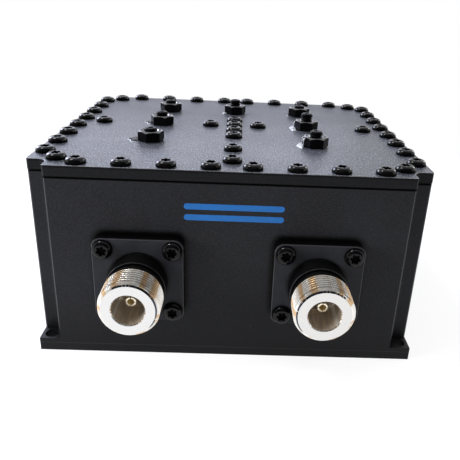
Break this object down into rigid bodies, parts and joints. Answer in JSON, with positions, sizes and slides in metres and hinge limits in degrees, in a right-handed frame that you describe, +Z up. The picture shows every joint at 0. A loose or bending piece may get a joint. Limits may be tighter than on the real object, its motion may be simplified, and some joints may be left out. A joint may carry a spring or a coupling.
{
  "type": "rf bandpass filter",
  "caption": "Black milled coaxial cavity bandpass filter with a screwed cover, lock-nutted tuning screws and two panel jacks with coupling threads.",
  "frame": {"origin": "on the underside, at the centre of the rectangle of the four base holes", "axes": "+Z up from the underside to the cover, -Y out of the wall that carries the two jacks, +X from the input jack towards the output jack"},
  "size_m": [0.1102, 0.1195, 0.0628],
  "materials": {
    "black_coat": "matte",
    "cover_coat": "satin",
    "black_screw": "gloss",
    "black_nut": "satin",
    "plain_steel": "satin",
    "silver_plate": "satin",
    "nickel_plate": "polished",
    "white_insulator": "satin",
    "gold_plate": "polished",
    "copper_wire": "satin"
  },
  "bodies": {
    "box": {"housing": "black_coat", "cover": "cover_coat", "cover_screws_front": "black_screw", "cover_screws_back": "black_screw", "cover_screws_left": "black_screw", "cover_screws_right": "black_screw", "cover_screws_corner": "black_screw", "cover_screws_iris": "black_screw", "cover_screws_partition": "black_screw", "resonator_1": "silver_plate", "resonator_2": "silver_plate", "resonator_3": "silver_plate", "resonator_4": "silver_plate", "resonator_screw_1": "plain_steel", "resonator_screw_2": "plain_steel", "resonator_screw_3": "plain_steel", "resonator_screw_4": "plain_steel", "tuning_nut_1": "black_nut", "tuning_nut_2": "black_nut", "tuning_nut_3": "black_nut", "tuning_nut_4": "black_nut", "coupling_nut_12": "black_nut", "coupling_nut_23": "black_nut", "coupling_nut_34": "black_nut", "input_jack_shell": "nickel_plate", "input_insulator": "white_insulator", "input_contact": "gold_plate", "input_tap_wire": "copper_wire", "input_flange_screws": "black_screw", "output_jack_shell": "nickel_plate", "output_insulator": "white_insulator", "output_contact": "gold_plate", "output_tap_wire": "copper_wire", "output_flange_screws": "black_screw"},
    "tuner_1": {"tuning_screw_1": "black_screw"},
    "tuner_2": {"tuning_screw_2": "black_screw"},
    "tuner_3": {"tuning_screw_3": "black_screw"},
    "tuner_4": {"tuning_screw_4": "black_screw"},
    "coupler_12": {"coupling_screw_12": "black_screw"},
    "coupler_23": {"coupling_screw_23": "black_screw"},
    "coupler_34": {"coupling_screw_34": "black_screw"}
  },
  "joints": [
    {"name": "tuner_1_travel", "type": "slide", "parent": "box", "child": "tuner_1", "axis": [0, 0, 1], "range_m": [-0.004, 0.004]},
    {"name": "tuner_2_travel", "type": "slide", "parent": "box", "child": "tuner_2", "axis": [0, 0, 1], "range_m": [-0.004, 0.004]},
    {"name": "tuner_3_travel", "type": "slide", "parent": "box", "child": "tuner_3", "axis": [0, 0, 1], "range_m": [-0.004, 0.004]},
    {"name": "tuner_4_travel", "type": "slide", "parent": "box", "child": "tuner_4", "axis": [0, 0, 1], "range_m": [-0.004, 0.004]},
    {"name": "coupler_12_travel", "type": "slide", "parent": "box", "child": "coupler_12", "axis": [0, 0, 1], "range_m": [-0.004, 0.004]},
    {"name": "coupler_23_travel", "type": "slide", "parent": "box", "child": "coupler_23", "axis": [0, 0, 1], "range_m": [-0.004, 0.004]},
    {"name": "coupler_34_travel", "type": "slide", "parent": "box", "child": "coupler_34", "axis": [0, 0, 1], "range_m": [-0.004, 0.004]}
  ]
}
